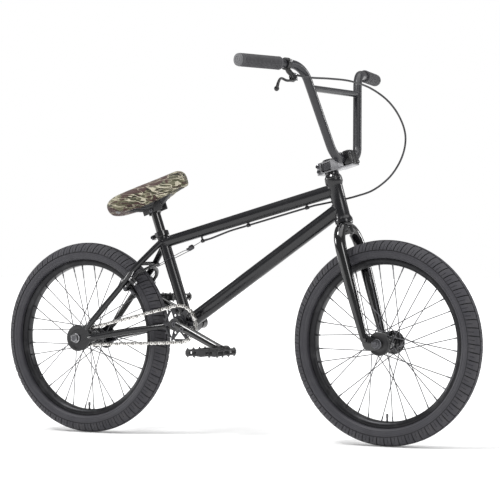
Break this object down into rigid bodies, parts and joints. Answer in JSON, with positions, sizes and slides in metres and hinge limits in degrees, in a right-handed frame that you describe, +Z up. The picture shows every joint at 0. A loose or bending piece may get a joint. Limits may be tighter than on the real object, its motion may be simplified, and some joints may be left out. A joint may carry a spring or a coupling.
{
  "type": "bmx bicycle",
  "caption": "Freestyle bicycle with small fat-tyred wheels, a tall braced handlebar, a sprung rear brake pulled by cable, and a single-speed chain drive.",
  "frame": {"origin": "on the ground, in the mid-plane, half way between the two wheel axles", "axes": "+X forward along the bicycle, +Y to the rider's left, +Z up"},
  "size_m": [1.415, 0.746, 0.9639],
  "materials": {
    "frame_paint": "satin black paint",
    "black_gloss": "gloss black paint",
    "black_matte": "matte black finish",
    "bright_metal": "bright plated steel",
    "dark_metal": "dark plated steel",
    "stem_grey": "satin grey anodised",
    "tyre_rubber": "black rubber",
    "grip_rubber": "soft black rubber",
    "black_plastic": "moulded black plastic",
    "saddle_cloth": "printed woven cloth in olive, cream and brown",
    "cable_skin": "black cable housing"
  },
  "bodies": {
    "frame": {"frame": "frame_paint", "seat_clamp": "black_gloss", "seat_clamp_bolt": "dark_metal", "upper_headset_bearing": "bright_metal", "lower_headset_bearing": "bright_metal", "right_bb_bearing": "bright_metal", "left_bb_bearing": "bright_metal", "rear_axle": "dark_metal", "right_rear_nut": "dark_metal", "left_rear_nut": "dark_metal", "rear_hub_guard": "black_plastic", "chain": "bright_metal", "brake_cable": "cable_skin", "cable_hanger": "dark_metal", "straddle_cable": "bright_metal", "right_brake_bolt": "bright_metal", "left_brake_bolt": "bright_metal"},
    "steering": {"fork": "black_gloss", "headset_cap": "black_gloss", "compression_cap": "black_matte", "stem": "stem_grey", "stem_front_cap": "black_matte", "handlebar": "black_matte", "right_grip": "grip_rubber", "left_grip": "grip_rubber", "right_bar_plug": "black_plastic", "left_bar_plug": "black_plastic", "lever_bracket": "black_matte", "lever_pivot": "dark_metal", "front_axle": "dark_metal", "right_front_nut": "dark_metal", "left_front_nut": "dark_metal", "right_front_guard": "black_plastic", "left_front_guard": "black_plastic"},
    "front_wheel": {"front_hub": "black_gloss", "front_rim": "black_matte", "front_tyre": "tyre_rubber", "front_inner_tube": "tyre_rubber"},
    "rear_wheel": {"rear_hub": "black_gloss", "rear_rim": "black_matte", "rear_tyre": "tyre_rubber", "rear_inner_tube": "tyre_rubber"},
    "driver": {"driver": "dark_metal"},
    "cranks": {"crank_spindle": "dark_metal", "right_crank_arm": "black_gloss", "left_crank_arm": "black_gloss", "sprocket": "black_matte", "sprocket_bolt": "dark_metal", "right_pedal_axle": "dark_metal", "left_pedal_axle": "dark_metal"},
    "right_pedal": {"right_pedal": "black_plastic"},
    "left_pedal": {"left_pedal": "black_plastic"},
    "brake_lever": {"brake_lever": "black_matte"},
    "right_brake": {"right_brake_arm": "black_matte", "right_brake_pad": "tyre_rubber"},
    "left_brake": {"left_brake_arm": "black_matte", "left_brake_pad": "tyre_rubber"},
    "seatpost": {"seatpost": "black_gloss"},
    "saddle": {"saddle_base": "black_plastic", "saddle_pad": "saddle_cloth"}
  },
  "joints": [
    {"name": "steer", "type": "hinge", "parent": "frame", "child": "steering", "pos_m": [0.33491, 0, 0.55889], "axis": [-0.2647, 0, 0.9643], "range_deg": [-70, 70], "deforming": ["brake_cable"]},
    {"name": "front_wheel_spin", "type": "hinge", "parent": "steering", "child": "front_wheel", "pos_m": [0.45, 0, 0.2575], "axis": [0, 1, 0], "continuous": true},
    {"name": "rear_wheel_spin", "type": "hinge", "parent": "frame", "child": "rear_wheel", "pos_m": [-0.45, 0, 0.2575], "axis": [0, 1, 0], "continuous": true},
    {"name": "crank_spin", "type": "hinge", "parent": "frame", "child": "cranks", "pos_m": [-0.1298, 0, 0.2992], "axis": [0, 1, 0], "continuous": true},
    {"name": "driver_spin", "type": "hinge", "parent": "frame", "child": "driver", "pos_m": [-0.45, 0, 0.2575], "axis": [0, 1, 0], "continuous": true},
    {"name": "right_pedal_spin", "type": "hinge", "parent": "cranks", "child": "right_pedal", "pos_m": [0.02726, -0.14725, 0.23414], "axis": [0, 1, 0], "continuous": true},
    {"name": "left_pedal_spin", "type": "hinge", "parent": "cranks", "child": "left_pedal", "pos_m": [-0.28686, 0.14725, 0.36426], "axis": [0, 1, 0], "continuous": true},
    {"name": "brake_lever_pull", "type": "hinge", "parent": "steering", "child": "brake_lever", "pos_m": [0.29857, -0.19404, 0.91033], "axis": [-0.9355, 0.2425, -0.2568], "range_deg": [0, 14], "stiffness_Nm_per_rad": 0.8, "springref_deg": -5.73},
    {"name": "right_brake_pull", "type": "hinge", "parent": "frame", "child": "right_brake", "pos_m": [-0.28874, -0.0437, 0.4243], "axis": [0.7409, 0, -0.6716], "range_deg": [0, 4.8]},
    {"name": "left_brake_pull", "type": "hinge", "parent": "frame", "child": "left_brake", "pos_m": [-0.28874, 0.0437, 0.4243], "axis": [-0.7409, 0, 0.6716], "range_deg": [0, 4.8]},
    {"name": "seatpost_slide", "type": "slide", "parent": "frame", "child": "seatpost", "axis": [-0.3262, 0, 0.9453], "range_m": [-0.03, 0.045]},
    {"name": "saddle_tilt", "type": "hinge", "parent": "seatpost", "child": "saddle", "pos_m": [-0.23344, 0, 0.59952], "axis": [0, 1, 0], "range_deg": [-5, 5]}
  ],
  "couplings": [
    {"joint": "driver_spin", "follows": "crank_spin", "ratio": 2.6667},
    {"joint": "right_brake_pull", "follows": "brake_lever_pull", "ratio": 0.33},
    {"joint": "left_brake_pull", "follows": "brake_lever_pull", "ratio": 0.33}
  ]
}
